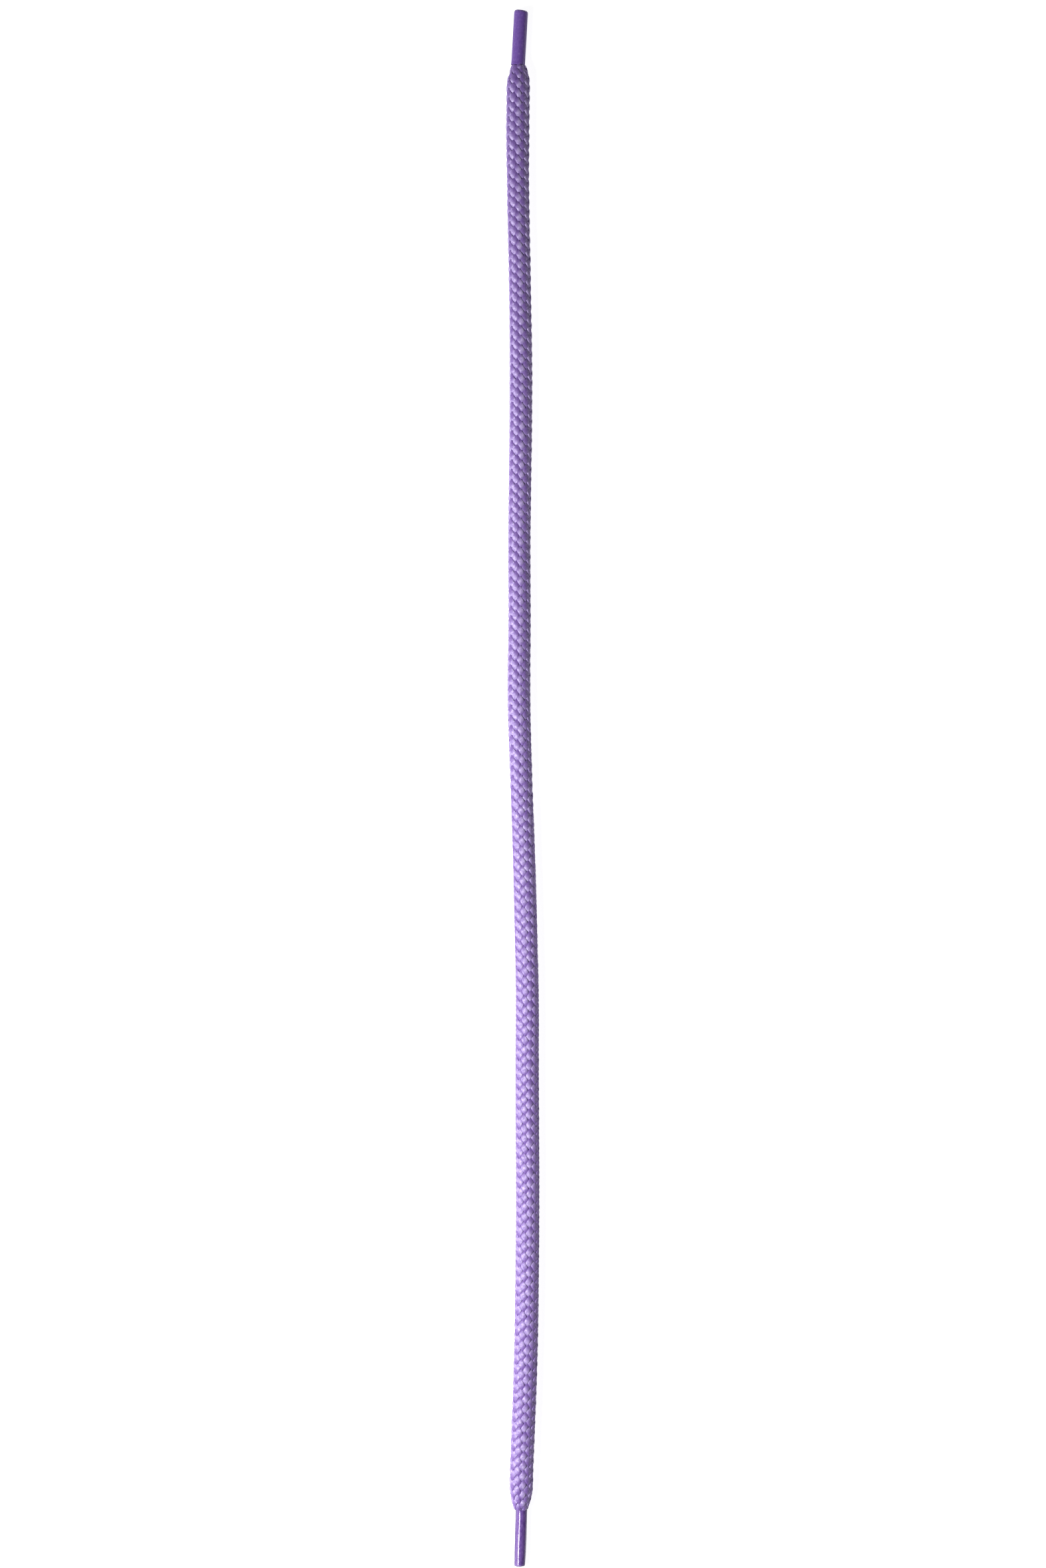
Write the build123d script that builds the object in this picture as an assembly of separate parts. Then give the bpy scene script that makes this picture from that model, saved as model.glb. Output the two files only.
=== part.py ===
"""A braided shoelace with a rolled film aglet on each end, laid out straight on a table.

Frame: millimetres. +Y runs along the lace towards its wide aglet, +X to the right of that, +Z up
from the table. The origin is the middle of the footprint, on the table.
"""
from build123d import *

import math
import os

# ---------------------------------------------------------------- driving dimensions
SHEATH_HALF_WIDTH = 3.24     # the braid lies a little flattened: half its width ...
SHEATH_HALF_HEIGHT = 2.80    # ... and half the height it would have off the table
UNDERSIDE_FLAT = 0.10        # how much of that the table presses flat
SHEATH_WALL = 1.25           # two layers of interlaced yarn

CORE_YARN_RADIUS = 0.45
CORE_PITCH = 0.95            # centre to centre of the filler yarns, side by side
CORE_ROWS = {0.0: 4, 0.82: 3, -0.82: 3}    # height of each row of filler yarns, and its count

FILM_WALL = 0.22             # the film is wound round the end about twice
WIDE_AGLET_RADIUS = 2.05
SLIM_AGLET_RADIUS = 1.68
CUT_END_RECESS = 0.25        # the cut yarns stop just short of the film's rim
RIM_ROUND = 0.09             # both rims of a film are softened by its sealing heat

# Centre line of the braid between its two shoulders, seen from above: X, Y.
BRAID_ROUTE = [
    (-1.25, 204.2),
    (-1.50, 188.0),
    (-1.25, 166.0),
    (-0.72, 143.0),
    (-0.42, 115.0),
    (-0.80, 87.0),
    (-1.02, 67.0),
    (-0.84, 49.0),
    (-1.20, 27.0),
    (-0.46, 4.0),
    (0.40, -19.0),
    (0.98, -42.0),
    (1.42, -61.0),
    (1.26, -85.0),
    (1.52, -116.0),
    (1.24, -147.0),
    (0.80, -170.0),
    (-0.06, -190.0),
    (-0.42, -200.4),
]
# Each aglet's mouth, where the braid enters it, and its tip: X, Y.
WIDE_MOUTH, WIDE_TIP = (-1.34, 209.0), (-0.44, 224.9)
SLIM_MOUTH, SLIM_TIP = (-0.34, -208.6), (-0.82, -224.9)

ARC_SHARE = 0.45             # share of the shorter run that an arc takes at each of its ends

LIE = SHEATH_HALF_HEIGHT - UNDERSIDE_FLAT    # height of the braid's centre line over the table


# ---------------------------------------------------------------- the route
def corner_radius(before, corner, after):
    """The largest arc that its two runs leave room for."""
    run_in, run_out = Vector(corner) - Vector(before), Vector(after) - Vector(corner)
    half_turn = math.radians(run_in.get_angle(run_out)) / 2
    return ARC_SHARE * min(run_in.length, run_out.length) / math.tan(half_turn)


def braid_line():
    """Straight runs joined by tangent arcs, along the braid's centre."""
    points = [(x, y, LIE) for x, y in BRAID_ROUTE]
    radii = [corner_radius(*three) for three in zip(points, points[1:], points[2:])]
    print("braid bend radii, mm:", [round(r) for r in radii])
    return FilletPolyline(*points, radius=radii)


def across(line, at):
    """The plane square to the line, its X level and its Y up."""
    ahead = line % at
    return Plane(origin=line @ at, x_dir=Vector(0, 0, 1).cross(ahead), z_dir=ahead)


def aglet_plane(mouth, tip, radius):
    """The plane of an aglet's mouth, facing its tip. The aglet lies on the table too."""
    ahead = Vector(*tip) - Vector(*mouth)
    return Plane(origin=(*mouth, radius), x_dir=Vector(0, 0, 1).cross(ahead), z_dir=ahead)


def aglet_length(mouth, tip):
    return (Vector(*tip) - Vector(*mouth)).length


# ---------------------------------------------------------------- the braid
def sheath_section():
    """An oval whose underside is pressed flat by the table."""
    oval = Ellipse(SHEATH_HALF_WIDTH, SHEATH_HALF_HEIGHT)
    above_table = Pos(0, SHEATH_HALF_HEIGHT - LIE) * Rectangle(
        2 * SHEATH_HALF_WIDTH, 2 * SHEATH_HALF_HEIGHT
    )
    return oval & above_table


def cavity_section():
    return Ellipse(SHEATH_HALF_WIDTH - SHEATH_WALL, SHEATH_HALF_HEIGHT - SHEATH_WALL)


def tube(line, section):
    """The section carried along the line, with its volume checked against the length."""
    solid = sweep(across(line, 0) * section, path=line)
    expected = section.area * line.length
    print(f"tube of {line.length:.1f} mm: {solid.volume:.1f} mm3, expected {expected:.1f} mm3")
    return solid


def gathered_end(line, at, mouth, tip, radius):
    """The braid drawn in from its full oval to the round bundle that the film grips."""
    bundle_radius = radius - FILM_WALL
    mouth_plane = aglet_plane(mouth, tip, radius)
    shoulder = loft([across(line, at) * sheath_section(), mouth_plane * Circle(bundle_radius)])
    bundle = extrude(
        mouth_plane * Circle(bundle_radius),
        amount=aglet_length(mouth, tip) - CUT_END_RECESS,
        dir=mouth_plane.z_dir,
    )
    return shoulder + bundle


def braided_sheath(line):
    """The woven outside of the lace, from one cut end to the other."""
    wall = tube(line, sheath_section()) - tube(line, cavity_section())
    wide_end = gathered_end(line, 0, WIDE_MOUTH, WIDE_TIP, WIDE_AGLET_RADIUS)
    slim_end = gathered_end(line, 1, SLIM_MOUTH, SLIM_TIP, SLIM_AGLET_RADIUS)
    return wall + wide_end + slim_end


def core_yarns(line):
    """The straight filler yarns that keep the braid plump, one solid each."""
    for height, count in CORE_ROWS.items():
        for place in range(count):
            sideways = (place - (count - 1) / 2) * CORE_PITCH
            yield tube(line, Pos(sideways, height) * Circle(CORE_YARN_RADIUS))


# ---------------------------------------------------------------- the aglets
def aglet_film(mouth, tip, radius):
    """A strip of film wound tight round the gathered end and sealed into a stiff sleeve."""
    mouth_plane = aglet_plane(mouth, tip, radius)
    sleeve = extrude(
        mouth_plane * (Circle(radius) - Circle(radius - FILM_WALL)),
        amount=aglet_length(mouth, tip),
        dir=mouth_plane.z_dir,
    )
    rims = sleeve.edges().filter_by(GeomType.CIRCLE)
    outer_rims = [rim for rim in rims if rim.radius > radius - RIM_ROUND]
    return fillet(outer_rims, RIM_ROUND)


def main():
    os.makedirs("parts", exist_ok=True)
    line = braid_line()
    nodes = {
        "braided_sheath": braided_sheath(line),
        "wide_aglet_film": aglet_film(WIDE_MOUTH, WIDE_TIP, WIDE_AGLET_RADIUS),
        "slim_aglet_film": aglet_film(SLIM_MOUTH, SLIM_TIP, SLIM_AGLET_RADIUS),
    }
    for number, yarn in enumerate(core_yarns(line), start=1):
        nodes[f"core_yarn_{number}"] = yarn
    for name, solid in nodes.items():
        export_step(solid, f"parts/{name}.step")


main()
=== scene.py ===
"""Looks of the braided shoelace: 24 interlaced yarns, their gathered ends, a core and two film aglets."""
import math

import bpy
import numpy as np
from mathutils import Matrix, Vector


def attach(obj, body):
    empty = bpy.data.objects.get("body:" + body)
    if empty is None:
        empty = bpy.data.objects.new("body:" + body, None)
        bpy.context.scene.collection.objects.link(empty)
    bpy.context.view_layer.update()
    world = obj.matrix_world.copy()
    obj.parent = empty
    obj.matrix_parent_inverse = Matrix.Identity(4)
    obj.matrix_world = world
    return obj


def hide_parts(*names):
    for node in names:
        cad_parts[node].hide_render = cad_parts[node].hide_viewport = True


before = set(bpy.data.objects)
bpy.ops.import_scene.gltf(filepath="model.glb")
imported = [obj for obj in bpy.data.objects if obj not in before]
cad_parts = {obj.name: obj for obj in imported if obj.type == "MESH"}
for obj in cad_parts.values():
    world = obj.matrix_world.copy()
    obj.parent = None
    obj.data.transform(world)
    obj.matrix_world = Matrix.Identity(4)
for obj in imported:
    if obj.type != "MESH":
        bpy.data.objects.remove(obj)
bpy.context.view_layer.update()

MM = 0.001
TURN = 2 * math.pi
rng = np.random.default_rng(12)

# ---------------------------------------------------------------- sizes, as in the CAD (mm)
HALF_WIDTH, HALF_HEIGHT = 3.24, 2.80
LIE = 2.70                       # height of the braid's centre line
WIDE_RADIUS, SLIM_RADIUS = 2.05, 1.68
FILM_WALL = 0.22
WIDE_MOUTH, WIDE_TIP = (-1.34, 209.0), (-0.44, 224.9)
SLIM_MOUTH, SLIM_TIP = (-0.34, -208.6), (-0.82, -224.9)
BRAID_ROUTE = [
    (-1.25, 204.2),
    (-1.50, 188.0),
    (-1.25, 166.0),
    (-0.72, 143.0),
    (-0.42, 115.0),
    (-0.80, 87.0),
    (-1.02, 67.0),
    (-0.84, 49.0),
    (-1.20, 27.0),
    (-0.46, 4.0),
    (0.40, -19.0),
    (0.98, -42.0),
    (1.42, -61.0),
    (1.26, -85.0),
    (1.52, -116.0),
    (1.24, -147.0),
    (0.80, -170.0),
    (-0.06, -190.0),
    (-0.42, -200.4),
]
CORE_YARN_RADIUS = 0.45
CORE_PITCH = 0.95
CORE_ROWS = {0.0: 4, 0.82: 3, -0.82: 3}
CORE_FROM, CORE_TO = 0.9, 425.6      # the core's ends, from the wide tip: it runs on into that aglet
CORE_SQUEEZE = 0.62                  # how far it is squeezed there

# ---------------------------------------------------------------- the braid (mm)
COLUMNS = 12                     # yarns that wind each way, and columns of floats round the braid
RINGS_PER_PICK = 12
SIDES = 14                       # corners of a yarn's section
YARN_HALF_WIDTH = 0.85
YARN_HALF_THICKNESS = 0.31
WEAVE_DEPTH = 0.34               # how far a yarn's middle swings in and out
FLOAT_PHASE = 0.5                # centres each float on the two yarns that it crosses
FLOAT_DWELL = 0.15               # over 0, a yarn stays on top or underneath longer than in a plain wave
THICK_MIDWAY, THICK_ON_TOP = 0.92, 0.20    # share of its thickness midway, and what is added on top
WIDE_MIDWAY, WIDE_ON_TOP = 0.91, 0.13      # and taken off underneath; then the same for its width
YARN_INSET = 1.10                # half thicknesses from the braid's outside to a float's middle
GATHERED_THINNING = 0.25         # share of its thickness that a yarn loses where it is gathered ...
GATHERED_FLATTENING = 0.35       # ... and share of its swing
GATHERED_WIDTH = 1.15            # its width there, beside what the smaller bundle leaves it
BOXINESS = 0.9                   # under 1, a yarn's section is fuller than an oval
PLACE_WANDER = 0.006, 0.025      # drifts: over what length in m, and the share of a column,
THICKNESS_DRIFT = 0.004, 0.04    # of the thickness
WIDTH_DRIFT = 0.005, 0.035       # and of the width
OUTLINE_RIPPLE = 0.03            # unevenness round a section, which runs all along the yarn
CUT_END_PICKS = 0.14             # the yarns stop this short of each film's rim
# Stops along the lace, from the wide tip: the length of a pick, the twist of the whole braid as a
# share of a turn, and how wide the braid is beside its usual width.
PICKS = [(0, 2.80), (22, 2.744), (103, 2.744), (132, 2.79), (175, 2.84), (215, 2.91), (253, 2.91),
         (285, 2.84), (380, 2.84), (392, 2.79), (450, 2.75)]
TWISTS = [(0, -0.023), (78, -0.023), (132, -0.040), (182, -0.042), (212, -0.050), (236, 0.004),
          (276, 0.008), (315, 0.026), (353, 0.023), (392, 0.040), (450, 0.040)]
GIRTHS = [(0, 1.06), (34, 1.06), (50, 1.01), (80, 1.00), (110, 1.03), (170, 1.01), (197, 1.03),
          (225, 1.0), (270, 1.03), (315, 1.06), (345, 1.06), (380, 1.07), (450, 1.05)]

# ---------------------------------------------------------------- the gathered ends (mm)
WIDE_GATHER = (15.9, 22.4)       # where a shoulder starts and ends, from its tip
SLIM_GATHER = (16.3, 24.4)
BUNDLE_GAP = 0.06                # between the gathered yarns and the film
SPRING_FROM, SPRING_OVER = 0.05, 0.5       # past the mouth: where the bundle springs out, over what length
CUT_END_REACH, CUT_END_ROUND = 1.3, 0.5    # the cut ends are rounded: over this length, by this much


def point(xy, height):
    return Vector((xy[0] * MM, xy[1] * MM, height * MM))


def link(name, data):
    made = bpy.data.objects.new(name, data)
    bpy.context.scene.collection.objects.link(made)
    return made


def smooth(x):
    x = np.clip(x, 0, 1)
    return x * x * (3 - 2 * x)


def eased(s, stops):
    """A value that eases from each stop to the next; the stops are (length in mm, value)."""
    at = np.array([stop[0] for stop in stops]) * MM
    values = np.array([stop[1] for stop in stops])
    where = np.clip(np.searchsorted(at, s, side="right") - 1, 0, len(at) - 2)
    share = smooth((s - at[where]) / (at[where + 1] - at[where]))
    return values[where] + share * (values[where + 1] - values[where])


def wobble(s, reach, size):
    """A value that drifts slowly along a line."""
    knots = np.arange(0, np.max(s) + 2 * reach, reach)
    values = rng.normal(0, size, len(knots))
    where = np.clip(np.searchsorted(knots, s, side="right") - 1, 0, len(knots) - 2)
    share = smooth((s - knots[where]) / reach)
    return values[where] + share * (values[where + 1] - values[where])


# ---------------------------------------------------------------- camera
VIEW_HEIGHT = 0.4537             # of floor that the camera sees, in m
VIEW_MIDDLE = (0.0001, 0.00125)
camera = bpy.data.cameras.new("camera")
camera.lens = 120
camera.sensor_width = 36
camera.clip_end = 100
camera_object = link("camera", camera)
camera_object.location = (*VIEW_MIDDLE, VIEW_HEIGHT * camera.lens / camera.sensor_width)
bpy.context.scene.camera = camera_object


# ---------------------------------------------------------------- the route
def route_line():
    """Points along the smooth centre line, from one aglet's tip to the other's."""
    controls = [point(WIDE_TIP, WIDE_RADIUS), point(WIDE_MOUTH, WIDE_RADIUS)]
    controls += [point(xy, LIE) for xy in BRAID_ROUTE]
    controls += [point(SLIM_MOUTH, SLIM_RADIUS), point(SLIM_TIP, SLIM_RADIUS)]
    curve = bpy.data.curves.new("route", "CURVE")
    curve.dimensions = "3D"
    spline = curve.splines.new("NURBS")
    spline.points.add(len(controls) - 1)
    for handle, control in zip(spline.points, controls):
        handle.co = (*control, 1)
    spline.order_u = 3
    spline.use_endpoint_u = True
    spline.resolution_u = 24
    holder = link("route", curve)
    mesh = bpy.data.meshes.new_from_object(holder)
    line = np.array([vertex.co for vertex in mesh.vertices])
    bpy.data.objects.remove(holder)
    return line


class Route:
    """A centre line by length, with its directions."""

    def __init__(self, line):
        steps = np.linalg.norm(np.diff(line, axis=0), axis=1)
        self.line = line[np.concatenate([[True], steps > 1e-9])]
        steps = np.linalg.norm(np.diff(self.line, axis=0), axis=1)
        self.along = np.concatenate([[0], np.cumsum(steps)])
        self.length = self.along[-1]

    def middle(self, s):
        return np.stack([np.interp(s, self.along, self.line[:, k]) for k in range(3)], axis=-1)

    def frame(self, s):
        """The point at a length, and the directions ahead, level to the side, and up."""
        reach = 0.0008
        after, before = np.minimum(s + reach, self.length), np.maximum(s - reach, 0)
        ahead = self.middle(after) - self.middle(before)
        ahead /= np.linalg.norm(ahead, axis=-1, keepdims=True)
        side = np.cross(np.array([0, 0, 1.0]), ahead)
        side /= np.linalg.norm(side, axis=-1, keepdims=True)
        return self.middle(s), ahead, side, np.cross(ahead, side)


route = Route(route_line())


# ---------------------------------------------------------------- section of the braid
def oval_table(half_width, half_height, count=2880):
    """Points and normals of an oval at equal steps of its outline."""
    turn = np.linspace(0, TURN, count + 1)
    x, y = half_width * np.cos(turn), half_height * np.sin(turn)
    along = np.concatenate([[0], np.cumsum(np.hypot(np.diff(x), np.diff(y)))])
    even = np.interp(np.linspace(0, along[-1], count + 1), along, turn)
    x, y = half_width * np.cos(even), half_height * np.sin(even)
    nx, ny = np.cos(even) / half_width, np.sin(even) / half_height
    size = np.hypot(nx, ny)
    return x, y, nx / size, ny / size


OVAL = oval_table(HALF_WIDTH * MM, HALF_HEIGHT * MM)


def around(share):
    """Point and normal of the braid's oval at a share of the way round."""
    spot = (share % 1.0) * (len(OVAL[0]) - 1)
    return [np.interp(spot, np.arange(len(t)), t) for t in OVAL]


def gathered(s, share):
    """How far the braid is drawn in: 0 in the open, 1 inside an aglet. And the bundle's radius there.

    The wide end's shoulder swells out sooner on its +X side, and the slim end's on its -X side. Past
    its film's mouth, the bundle springs out to the film's own radius.
    """
    wide_power = 1.07 - 0.25 * np.cos(TURN * share)
    slim_power = 0.78 + 0.12 * np.cos(TURN * share)
    from_wide, from_slim = s / MM, (route.length - s) / MM
    wide = np.clip((from_wide - WIDE_GATHER[0]) / (WIDE_GATHER[1] - WIDE_GATHER[0]), 0, 1) ** wide_power
    slim = np.clip((from_slim - SLIM_GATHER[0]) / (SLIM_GATHER[1] - SLIM_GATHER[0]), 0, 1) ** slim_power
    gather = 1 - np.sin(math.pi / 2 * np.minimum(wide, slim))
    past_mouth = np.minimum(from_wide - WIDE_GATHER[0], from_slim - SLIM_GATHER[0])
    past = smooth((past_mouth - SPRING_FROM) / SPRING_OVER)
    film_radius = np.where(s < route.length / 2, WIDE_RADIUS, SLIM_RADIUS)
    cut = smooth(1 - np.minimum(from_wide, from_slim) / CUT_END_REACH)
    return gather, (film_radius - (FILM_WALL + BUNDLE_GAP) * (1 - past) - CUT_END_ROUND * cut) * MM


def shell(s, share, depth):
    """The point at a share of the way round the braid, a depth under its outside, and its normal."""
    middle, _, side, up = route.frame(s)
    x, y, nx, ny = around(share)
    girth = eased(s, GIRTHS)
    x = x * girth
    gather, radius = gathered(s, share)
    turn = TURN * share
    x = x + gather * (radius * np.cos(turn) - x)
    y = y + gather * (radius * np.sin(turn) - y)
    nx = nx + gather * (np.cos(turn) - nx)
    ny = ny + gather * (np.sin(turn) - ny)
    normal = nx[..., None] * side + ny[..., None] * up
    normal /= np.linalg.norm(normal, axis=-1, keepdims=True)
    return middle + x[..., None] * side + y[..., None] * up - depth[..., None] * normal, normal


def picks_along():
    """Lengths along the lace, and how many picks lie before each."""
    fine = np.linspace(0, route.length, 4001)
    pitch = eased(fine, PICKS) * MM
    count = np.concatenate([[0], np.cumsum(np.diff(fine) * 2 / (pitch[1:] + pitch[:-1]))])
    return fine, count


FINE, COUNT = picks_along()


# ---------------------------------------------------------------- tube meshes
def tube_mesh(name, rings, shift=0.0, marks=None):
    """A mesh from rings of points, (rings, sides, 3), with capped ends and a UV map.

    Each ring turns right-handed about the way the rings run, so that the faces point outward.
    shift moves the UV map, so that two tubes with one material don't wear the same grain. marks
    are one number for each point, kept as the attribute "crown".
    """
    n, m = rings.shape[:2]
    vertices = rings.reshape(-1, 3)
    k = np.arange(n - 1)[:, None] * m
    j = np.arange(m)[None, :]
    quads = np.stack([k + j, k + (j + 1) % m, k + m + (j + 1) % m, k + m + j], axis=-1).reshape(-1, 4)
    caps = [np.arange(m - 1, -1, -1), np.arange((n - 1) * m, n * m)]
    mesh = bpy.data.meshes.new(name)
    mesh.vertices.add(len(vertices))
    mesh.vertices.foreach_set("co", vertices.astype(np.float32).ravel())
    loops = np.concatenate([quads.ravel(), *caps])
    mesh.loops.add(len(loops))
    mesh.loops.foreach_set("vertex_index", loops.astype(np.int32))
    starts = np.concatenate([np.arange(len(quads)) * 4, [len(quads) * 4, len(quads) * 4 + m]])
    mesh.polygons.add(len(starts))
    mesh.polygons.foreach_set("loop_start", starts.astype(np.int32))
    mesh.update(calc_edges=True)
    mesh.polygons.foreach_set("use_smooth", np.ones(len(starts), dtype=bool))
    ring_of, side_of = np.meshgrid(np.arange(n - 1), np.arange(m), indexing="ij")
    u0, u1 = side_of / m, (side_of + 1) / m
    v0, v1 = ring_of / (n - 1), (ring_of + 1) / (n - 1)
    uv = np.stack([u0, v0, u1, v0, u1, v1, u0, v1], axis=-1).reshape(-1, 2)
    uv = np.concatenate([uv, np.zeros((2 * m, 2))]) + shift
    mesh.uv_layers.new(name="UVMap").data.foreach_set("uv", uv.astype(np.float32).ravel())
    if marks is not None:
        crest_wear_and_shade = mesh.attributes.new("crest_wear_and_shade", "FLOAT", "POINT")
        crest_wear_and_shade.data.foreach_set("value", np.repeat(marks, m).astype(np.float32))
    mesh.validate()
    return mesh


def across_line(centre, normal):
    """The direction across a line, and its normal made square to it."""
    ahead = np.gradient(centre, axis=0)
    ahead /= np.linalg.norm(ahead, axis=-1, keepdims=True)
    normal = normal - (normal * ahead).sum(-1, keepdims=True) * ahead
    normal /= np.linalg.norm(normal, axis=-1, keepdims=True)
    return np.cross(normal, ahead), normal


# ---------------------------------------------------------------- a braided yarn
def sheath_yarn(name, number, way):
    """One braided yarn. way is 1 for yarns that wind one way round and -1 for the other."""
    picks = np.linspace(CUT_END_PICKS, COUNT[-1] - CUT_END_PICKS, int(COUNT[-1] * RINGS_PER_PICK))
    s = np.interp(picks, COUNT, FINE)
    place = number + way * picks + wobble(s, *PLACE_WANDER)
    share = place / COLUMNS + eased(s, TWISTS)
    gather, bundle = gathered(s, share)
    swing = way * np.cos(math.pi / 2 * (2 * place - FLOAT_PHASE))     # 1 on top, -1 underneath
    swing = swing * (1 + FLOAT_DWELL * (1 - swing ** 2))
    squeeze = 1 - gather * (1 - bundle / (HALF_WIDTH * MM) * GATHERED_WIDTH)
    flat = 1 - GATHERED_THINNING * gather
    thickness = YARN_HALF_THICKNESS * MM * (THICK_MIDWAY + THICK_ON_TOP * swing) * flat
    thickness = thickness * (1 + wobble(s, *THICKNESS_DRIFT))
    width = YARN_HALF_WIDTH * MM * (WIDE_MIDWAY + WIDE_ON_TOP * swing) * squeeze
    width = width * (1 + wobble(s, *WIDTH_DRIFT))
    swing_depth = WEAVE_DEPTH * MM * (1 - GATHERED_FLATTENING * gather)
    depth = YARN_HALF_THICKNESS * MM * YARN_INSET * flat + swing_depth * (1 - swing)
    centre, normal = shell(s, share, depth)
    across, normal = across_line(centre, normal)
    turn = np.arange(SIDES) * TURN / SIDES
    ripple = 1 + OUTLINE_RIPPLE * rng.normal(0, 1, (1, SIDES, 1))
    outline = np.sign(np.cos(turn)) * np.abs(np.cos(turn)) ** BOXINESS
    rings = centre[:, None] + ripple * (
        width[:, None, None] * outline[None, :, None] * across[:, None]
        + thickness[:, None, None] * np.sin(turn)[None, :, None] * normal[:, None]
    )
    rings[..., 2] = np.maximum(rings[..., 2], 0)
    return link(name, tube_mesh(name, rings, shift=number * 3.7 + way * 0.9, marks=0.5 + 0.5 * swing))


# ---------------------------------------------------------------- a core yarn
CORE_STEP = 0.55                 # mm between its rings
LOBES, LOBE_DEPTH = 5, 0.10      # of its section, and the depth of its grooves as a share of its radius
LOBE_LAY = 7.5                   # mm in which the lobes go once round it
CORE_SLACK = 0.97                # its radius beside the CAD's, which keeps it clear of its neighbours


def core_strand(name, sideways, height, number):
    """A filler yarn: a loosely twisted bundle with a lobed section."""
    s = np.arange(CORE_FROM, CORE_TO, CORE_STEP) * MM
    middle, _, side, up = route.frame(s)
    drift = wobble(s, 0.011, 0.02 * MM), wobble(s, 0.013, 0.02 * MM)
    squeeze = 1 - CORE_SQUEEZE * gathered(s, 0.5)[0]
    level, raised_by = (sideways * MM + drift[0]) * squeeze, (height * MM + drift[1]) * squeeze
    centre = middle + level[:, None] * side + raised_by[:, None] * up
    turn = np.arange(SIDES) * TURN / SIDES
    twist = TURN * s[:, None] / (LOBE_LAY * MM) + number
    lobes = 1 - LOBE_DEPTH * (1 + np.cos(LOBES * (turn[None, :] - twist))) / 2
    plumpness = squeeze * (1 + wobble(s, 0.009, 0.03))
    radius = CORE_YARN_RADIUS * MM * lobes * plumpness[:, None] * CORE_SLACK
    rings = centre[:, None] + radius[..., None] * (
        np.cos(turn)[None, :, None] * side[:, None] + np.sin(turn)[None, :, None] * up[:, None]
    )
    return link(name, tube_mesh(name, rings, shift=number * 2.3))


# ---------------------------------------------------------------- a film aglet
FILM_THICKNESS = 0.10            # what one turn takes of the wall; the spiral takes the rest
FILM_SHARE = 0.9                 # how much of that thickness is film
FILM_TURNS = 2.15                # wound so tight that its turns sink 0.03 mm into each other
FILM_STEPS = 56                  # corners in one turn of the roll
TIP_LIMIT = 8                    # how close to its tip a slanted or ragged cut is felt: a power


def film_rings(mouth, tip, radius, seam, slant, ragged, shape):
    """A strip of film wound about twice round the gathered end, tight on the yarns inside.

    seam is where its outer edge lies, as an angle from +X, and slant is the share of its length by
    which its tip is cut shorter on the +X side. ragged is the share by which the cut wanders.
    shape(along, turn) gives what is added to the radius in mm, for along from 0 at the mouth to 1 at
    the tip. The rings run the way round that turns the mesh's faces outward.
    """
    start, end = np.array(point(mouth, radius)), np.array(point(tip, radius))
    side = np.cross((0, 0, 1.0), end - start)
    side *= np.sign(side[0]) / np.linalg.norm(side)
    turns = np.linspace(0, FILM_TURNS * TURN, int(FILM_TURNS * FILM_STEPS))
    lap = turns / TURN
    gap = (FILM_WALL - FILM_THICKNESS) / FILM_TURNS
    outer = radius - gap * lap
    inner = outer - FILM_THICKNESS * FILM_SHARE
    angle = np.concatenate([turns, turns[::-1]]) + seam
    base = np.concatenate([outer, inner[::-1]])
    along = np.concatenate([[0, 0.004, 0.012], np.linspace(0.02, 0.94, 70), np.linspace(0.946, 1, 12)])
    rings = []
    for a in along:
        reach = (base + shape(a, angle) * base / radius) * MM
        wander = (1 + np.sin(3 * angle + 0.9) * np.sin(5 * angle)) / 2
        cut = slant * (1 + np.cos(angle)) / 2 + ragged * wander
        ahead_by = a - cut * a ** TIP_LIMIT
        rings.append(
            start + ahead_by[:, None] * (end - start)
            + (reach * np.cos(angle))[:, None] * side + (reach * np.sin(angle))[:, None] * (0, 0, 1.0)
        )
    rings = np.array(rings)
    rings[..., 2] = np.maximum(rings[..., 2], 0)
    faces_out = np.cross(side, (0, 0, 1.0)) @ (end - start) > 0
    return rings if faces_out else rings[:, ::-1]


def folds(count, size, seed):
    """Gentle flats and ridges along an aglet, that drift round it: how many, and about how high in mm."""
    draw = np.random.default_rng(seed)
    waves = [(k, draw.normal(0, size / k ** 0.5), draw.uniform(0, TURN), draw.normal(0, 0.8))
             for k in range(2, 2 + count)]

    def ridge(along, turn):
        return sum(h * np.cos(k * turn + start + drift * math.sin(7 * along + start))
                   for k, h, start, drift in waves)
    return ridge


def rounding(along, reach):
    """A quarter circle over the last share of an aglet: 0 before it and 1 at the tip."""
    part = min(max((along - 1 + reach) / reach, 0), 1)
    return 1 - math.sqrt(1 - part ** 2)


def wide_shape(along, turn):
    """The wide film's tip is well rounded, and its mouth flares out a little on one side."""
    mouth = smooth((0.05 - along) / 0.05)
    flare = 0.06 * mouth * (1 + np.cos(turn - 2.6)) / 2
    return WIDE_FOLDS(along, turn) - 0.55 * rounding(along, 0.056) + flare


def slim_shape(along, turn):
    """The slim film narrows towards its tip, the more so on its +X side, and flares at its mouth."""
    narrow = smooth((along - 0.72) / 0.28)
    mouth = smooth((0.04 - along) / 0.04)
    right = np.clip(np.cos(turn), 0, 1)
    return (SLIM_FOLDS(along, turn) - 0.10 * narrow * right - 0.24 * rounding(along, 0.03)
            - 0.05 * narrow + 0.05 * mouth)


WIDE_FOLDS = folds(count=7, size=0.008, seed=4)
SLIM_FOLDS = folds(count=8, size=0.030, seed=9)


# ---------------------------------------------------------------- materials
FILM_ALPHA = 0.8                 # the yarns inside show through by the rest
# A pale film colour, for clouded patches and for the painted highlight at the tips.
MILKY_AND_GLINT = (0.66, 0.57, 0.84)


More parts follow.
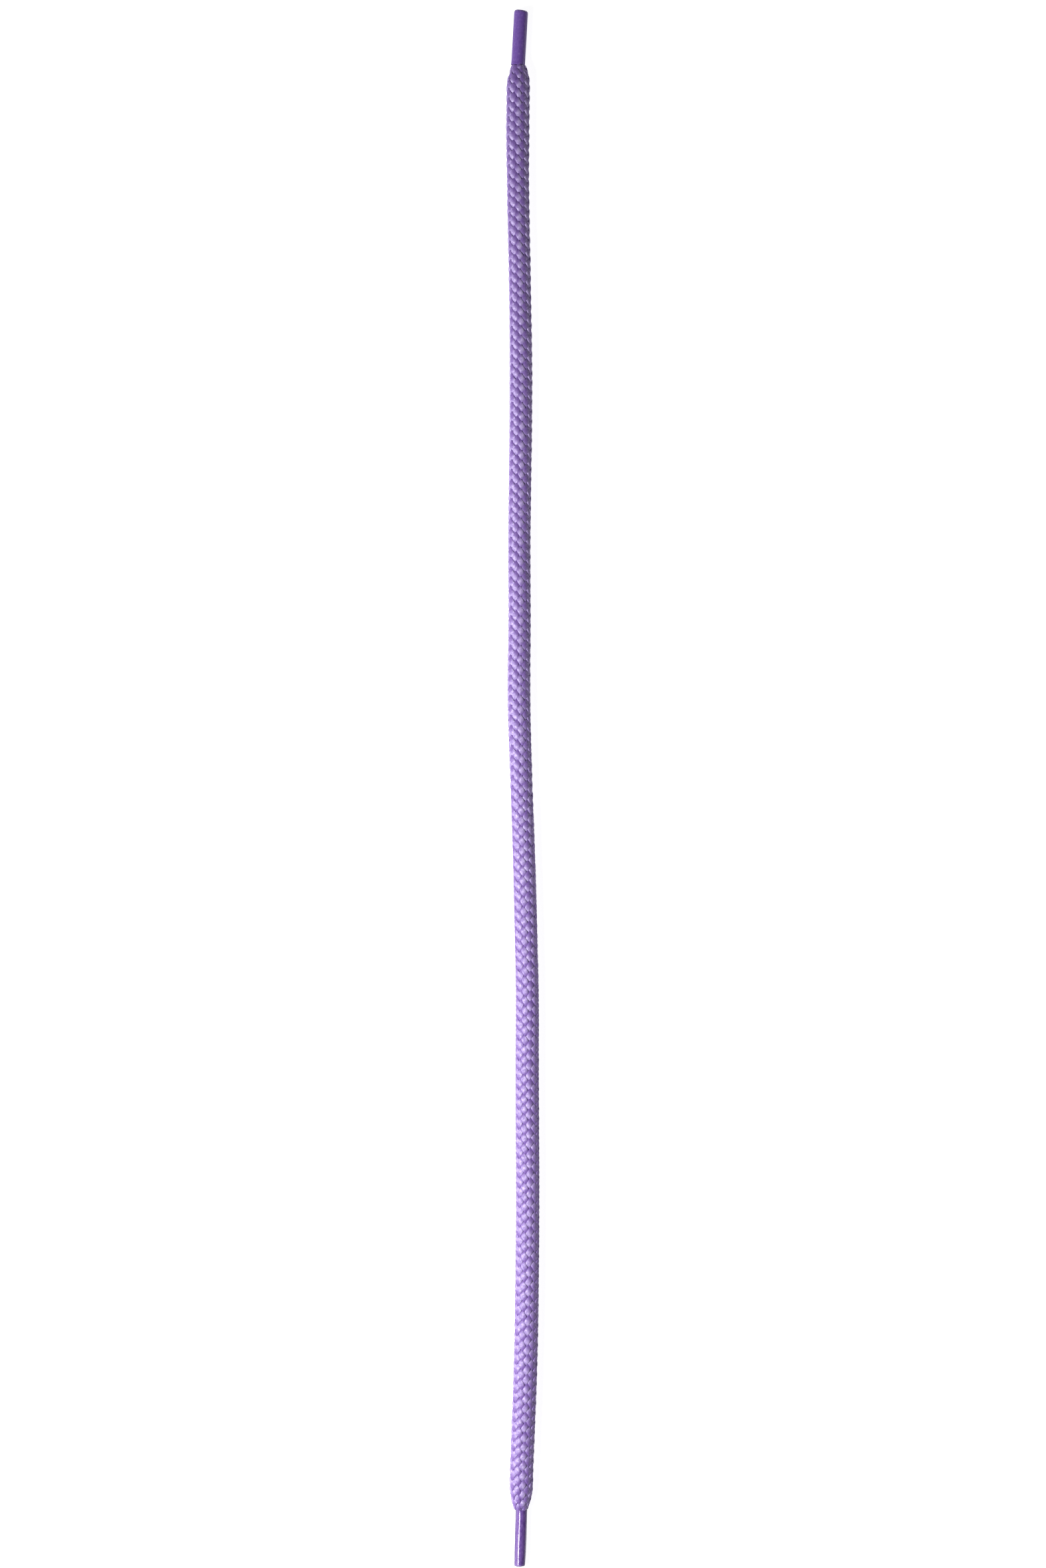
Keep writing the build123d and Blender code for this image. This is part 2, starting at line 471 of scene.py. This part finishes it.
def new_material(name, roughness, **numbers):
    material = bpy.data.materials.new(name)
    material.use_nodes = True
    shader = material.node_tree.nodes["Principled BSDF"]
    shader.inputs["Roughness"].default_value = roughness
    for socket, value in numbers.items():
        shader.inputs[socket.replace("_", " ")].default_value = value
    return material, material.node_tree, shader


def node(tree, kind, **settings):
    made = tree.nodes.new(kind)
    for key, value in settings.items():
        if key.startswith("in_"):
            made.inputs[key[3:].replace("_", " ")].default_value = value
        else:
            setattr(made, key, value)
    return made


def grain(tree, scale, detail=3.0, roughness=0.6):
    """Noise stretched along a tube: scale is how many cells go round it and along it."""
    uv = node(tree, "ShaderNodeUVMap", uv_map="UVMap")
    mapping = node(tree, "ShaderNodeMapping", in_Scale=(*scale, 1))
    noise = node(tree, "ShaderNodeTexNoise", in_Scale=1.0, in_Detail=detail, in_Roughness=roughness)
    tree.links.new(uv.outputs["UV"], mapping.inputs["Vector"])
    tree.links.new(mapping.outputs["Vector"], noise.inputs["Vector"])
    return noise.outputs["Fac"]


def ramp(tree, source, stops):
    """A colour ramp. The stops are (place, colour)."""
    made = node(tree, "ShaderNodeValToRGB")
    for spare in list(made.color_ramp.elements)[1:]:
        made.color_ramp.elements.remove(spare)
    for index, (place, colour) in enumerate(stops):
        element = made.color_ramp.elements[0] if index == 0 else made.color_ramp.elements.new(place)
        element.position = place
        element.color = (*colour, 1)
    tree.links.new(source, made.inputs["Fac"])
    return made.outputs["Color"]


def mixed(tree, share, one, other):
    """Two colours, blended by a share of the second."""
    made = node(tree, "ShaderNodeMix", data_type="RGBA")
    tree.links.new(share, made.inputs[0])
    tree.links.new(one, made.inputs[6])
    tree.links.new(other, made.inputs[7])
    return made.outputs[2]


def spread(tree, source, low, high, to_low, to_high):
    """A number, stretched so that low to high becomes to_low to to_high."""
    made = node(tree, "ShaderNodeMapRange")
    for socket, value in zip(("From Min", "From Max", "To Min", "To Max"), (low, high, to_low, to_high)):
        made.inputs[socket].default_value = value
    tree.links.new(source, made.inputs["Value"])
    return made.outputs["Result"]


def raised(tree, shader, height, strength, distance):
    """Bumps a surface; distance is the height in m that 1 stands for."""
    bump = node(tree, "ShaderNodeBump", in_Strength=strength, in_Distance=distance)
    tree.links.new(height, bump.inputs["Height"])
    tree.links.new(bump.outputs["Normal"], shader.inputs["Normal"])


def sheath_material():
    """Bright filaments that run along each yarn, worn paler on the tops of its floats, and darker where it
    dives under its neighbours, which is painted shade.
    """
    material, tree, shader = new_material(
        "bright_polyester_yarn", 0.6, Sheen_Weight=0.08, Sheen_Roughness=0.6,
        Specular_IOR_Level=1.0, IOR=2.0, Anisotropic=0.80,
    )
    shader.inputs["Sheen Tint"].default_value = (0.45, 0.30, 0.75, 1)
    shader.inputs["Specular Tint"].default_value = (0.90, 0.86, 1.0, 1)
    tangent = node(tree, "ShaderNodeTangent", direction_type="UV_MAP", uv_map="UVMap")
    tree.links.new(tangent.outputs["Tangent"], shader.inputs["Tangent"])
    filaments = grain(tree, (44, 300), 3.0)
    mottle = grain(tree, (7, 800), 4.0, 0.7)
    crest_wear_and_shade = node(tree, "ShaderNodeAttribute", attribute_name="crest_wear_and_shade").outputs["Fac"]
    dyed = ramp(tree, filaments, [(0.30, (0.106, 0.041, 0.262)), (0.52, (0.140, 0.060, 0.316)),
                                  (0.74, (0.193, 0.098, 0.375))])
    worn = ramp(tree, mottle, [(0.38, (0.114, 0.047, 0.272)), (0.62, (0.238, 0.138, 0.41))])
    # The crest mark mixes in the worn colour on the tops of the floats, as wear, and leaves the yarn
    # darker where it dives under its neighbours, as painted shade.
    tree.links.new(mixed(tree, spread(tree, crest_wear_and_shade, 0.45, 1.0, 0.25, 0.7), dyed, worn),
                   shader.inputs["Base Color"])
    tree.links.new(spread(tree, mottle, 0.38, 0.62, 0.76, 0.52), shader.inputs["Roughness"])
    raised(tree, shader, filaments, 0.6, 0.00006)
    return material


def core_material():
    material, tree, shader = new_material("dull_filler_yarn", 0.8, Sheen_Weight=0.4)
    filaments = grain(tree, (22, 420), 3.0)
    colour = ramp(tree, filaments, [(0.3, (0.34, 0.27, 0.47)), (0.7, (0.58, 0.50, 0.72))])
    tree.links.new(colour, shader.inputs["Base Color"])
    tree.links.new(spread(tree, filaments, 0.3, 0.7, 0.7, 0.9), shader.inputs["Roughness"])
    raised(tree, shader, filaments, 0.5, 0.00008)
    return material


def film_material(name, dark, light, roughness, grain_scale, pale=None, lap=None):
    """Clear film over dyed yarn, clouded in places, and paler at its tip, which is a painted highlight for
    the glints on its rim.

    roughness is its range. lap is a ramp round the roll that marks a pale lengthwise band along the film.
    """
    material, tree, shader = new_material(
        name, roughness[0], IOR=1.5, Specular_IOR_Level=0.5, Alpha=FILM_ALPHA,
    )
    streaks = grain(tree, grain_scale, 4.0)
    scuffs = grain(tree, (110, 30), 4.0)
    colour = ramp(tree, streaks, [(0.34, dark), (0.68, light)])
    place = node(tree, "ShaderNodeSeparateXYZ")      # X goes round the roll, and Y to its tip
    tree.links.new(node(tree, "ShaderNodeUVMap", uv_map="UVMap").outputs["UV"], place.inputs["Vector"])
    milky_and_glint = ramp(tree, scuffs, [(0.42, light), (0.66, MILKY_AND_GLINT)])
    # Paler towards the tip: a painted highlight for the glints on the film's rim.
    tip_glint = spread(tree, place.outputs["Y"], 0.90, 0.96, 0.0, 0.6)
    clouds = spread(tree, grain(tree, (66, 17), 3.0), 0.50, 0.70, 0.0, 0.20)
    colour = mixed(tree, clouds, colour, milky_and_glint)
    # Where lap gives it, a pale lengthwise band at one place round the roll.
    if lap:
        band = ramp(tree, place.outputs["X"], lap)
        colour = mixed(tree, band, colour, ramp(tree, scuffs, [(0.35, light), (0.65, pale)]))
    tree.links.new(mixed(tree, tip_glint, colour, milky_and_glint), shader.inputs["Base Color"])
    tree.links.new(spread(tree, scuffs, 0.35, 0.65, *roughness), shader.inputs["Roughness"])
    raised(tree, shader, streaks, 0.35, 0.00005)
    return material


# ---------------------------------------------------------------- the pieces
def declare(piece, material, slot, *nodes):
    """Gives a piece its material, says what it rides on, and hides the CAD nodes that it stands for."""
    piece.data.materials.append(material)
    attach(piece, "root")
    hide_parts(*nodes)
    return piece


SHEATH_MATERIAL = sheath_material()
for way, label in ((1, "s"), (-1, "z")):
    for number in range(COLUMNS):
        made = sheath_yarn(f"sheath_yarn_{label}{number + 1:02d}", number, way)
        declare(made, SHEATH_MATERIAL, "sheath_yarn", "braided_sheath")

CORE_MATERIAL = core_material()
core_places = [
    ((place - (count - 1) / 2) * CORE_PITCH, height)
    for height, count in CORE_ROWS.items() for place in range(count)
]
for number, (sideways, height) in enumerate(core_places, start=1):
    made = core_strand(f"core_strand_{number:02d}", sideways, height, number)
    declare(made, CORE_MATERIAL, "core_yarn", f"core_yarn_{number}")

wide_rings = film_rings(
    WIDE_MOUTH, WIDE_TIP, WIDE_RADIUS, seam=3.5, slant=0.014, ragged=0.003, shape=wide_shape,
)
wide_film = link("wide_aglet_roll", tube_mesh("wide_aglet_roll", wide_rings))
satin = film_material(
    "satin_film",
    dark=(0.134, 0.060, 0.328),
    light=(0.182, 0.092, 0.400),
    roughness=(0.40, 0.52),
    grain_scale=(85, 20),
)
declare(wide_film, satin, "aglet_film", "wide_aglet_film")

slim_rings = film_rings(
    SLIM_MOUTH, SLIM_TIP, SLIM_RADIUS, seam=2.95, slant=0.004, ragged=0.014, shape=slim_shape,
)
slim_film = link("slim_aglet_roll", tube_mesh("slim_aglet_roll", slim_rings))
BLACK, WHITE = (0.0, 0.0, 0.0), (1.0, 1.0, 1.0)
gloss = film_material(
    "gloss_film",
    dark=(0.095, 0.042, 0.225),
    light=(0.170, 0.090, 0.330),
    roughness=(0.07, 0.14),
    grain_scale=(60, 12),
    pale=(0.26, 0.17, 0.42),
    lap=[(0.192, BLACK), (0.199, WHITE), (0.209, WHITE), (0.214, BLACK)],
)
declare(slim_film, gloss, "aglet_film", "slim_aglet_film")

# ---------------------------------------------------------------- floor and light
FLOOR_REACH = 30                 # m each way, which fills a view from 15 degrees up
FLOOR_GREY = 0.4                 # what it bounces back of the lamp's light ...
FLOOR_GLOW = 0.92                # ... and what it gives off itself, which keeps it white
SKY_LIGHT = 0.13

floor_mesh = bpy.data.meshes.new("floor")
floor_corners = [(x * FLOOR_REACH, y * FLOOR_REACH, 0) for x, y in ((-1, -1), (1, -1), (1, 1), (-1, 1))]
floor_mesh.from_pydata(floor_corners, [], [(0, 1, 2, 3)])
floor = link("floor", floor_mesh)
paper, _, _ = new_material(
    "paper",
    0.9,
    Base_Color=(FLOOR_GREY, FLOOR_GREY, FLOOR_GREY, 1),
    Emission_Color=(1, 1, 1, 1),
    Emission_Strength=FLOOR_GLOW,
)
floor_mesh.materials.append(paper)

world = bpy.data.worlds.new("world")
bpy.context.scene.world = world
world.use_nodes = True
world.node_tree.nodes["Background"].inputs["Color"].default_value = (1, 1, 1, 1)
world.node_tree.nodes["Background"].inputs["Strength"].default_value = SKY_LIGHT


def softbox(name, place, aim, size, watts):
    light = bpy.data.lights.new(name, "AREA")
    light.shape = "RECTANGLE"
    light.size, light.size_y = size
    light.energy = watts
    lamp = link(name, light)
    lamp.location = place
    lamp.rotation_euler = (Vector(aim) - lamp.location).to_track_quat("-Z", "Y").to_euler()


softbox("key_softbox", place=(-0.31, -0.14, 0.37), aim=(0, -0.08, 0), size=(0.40, 0.15), watts=4.9)
bpy.context.scene.view_settings.view_transform = "Standard"
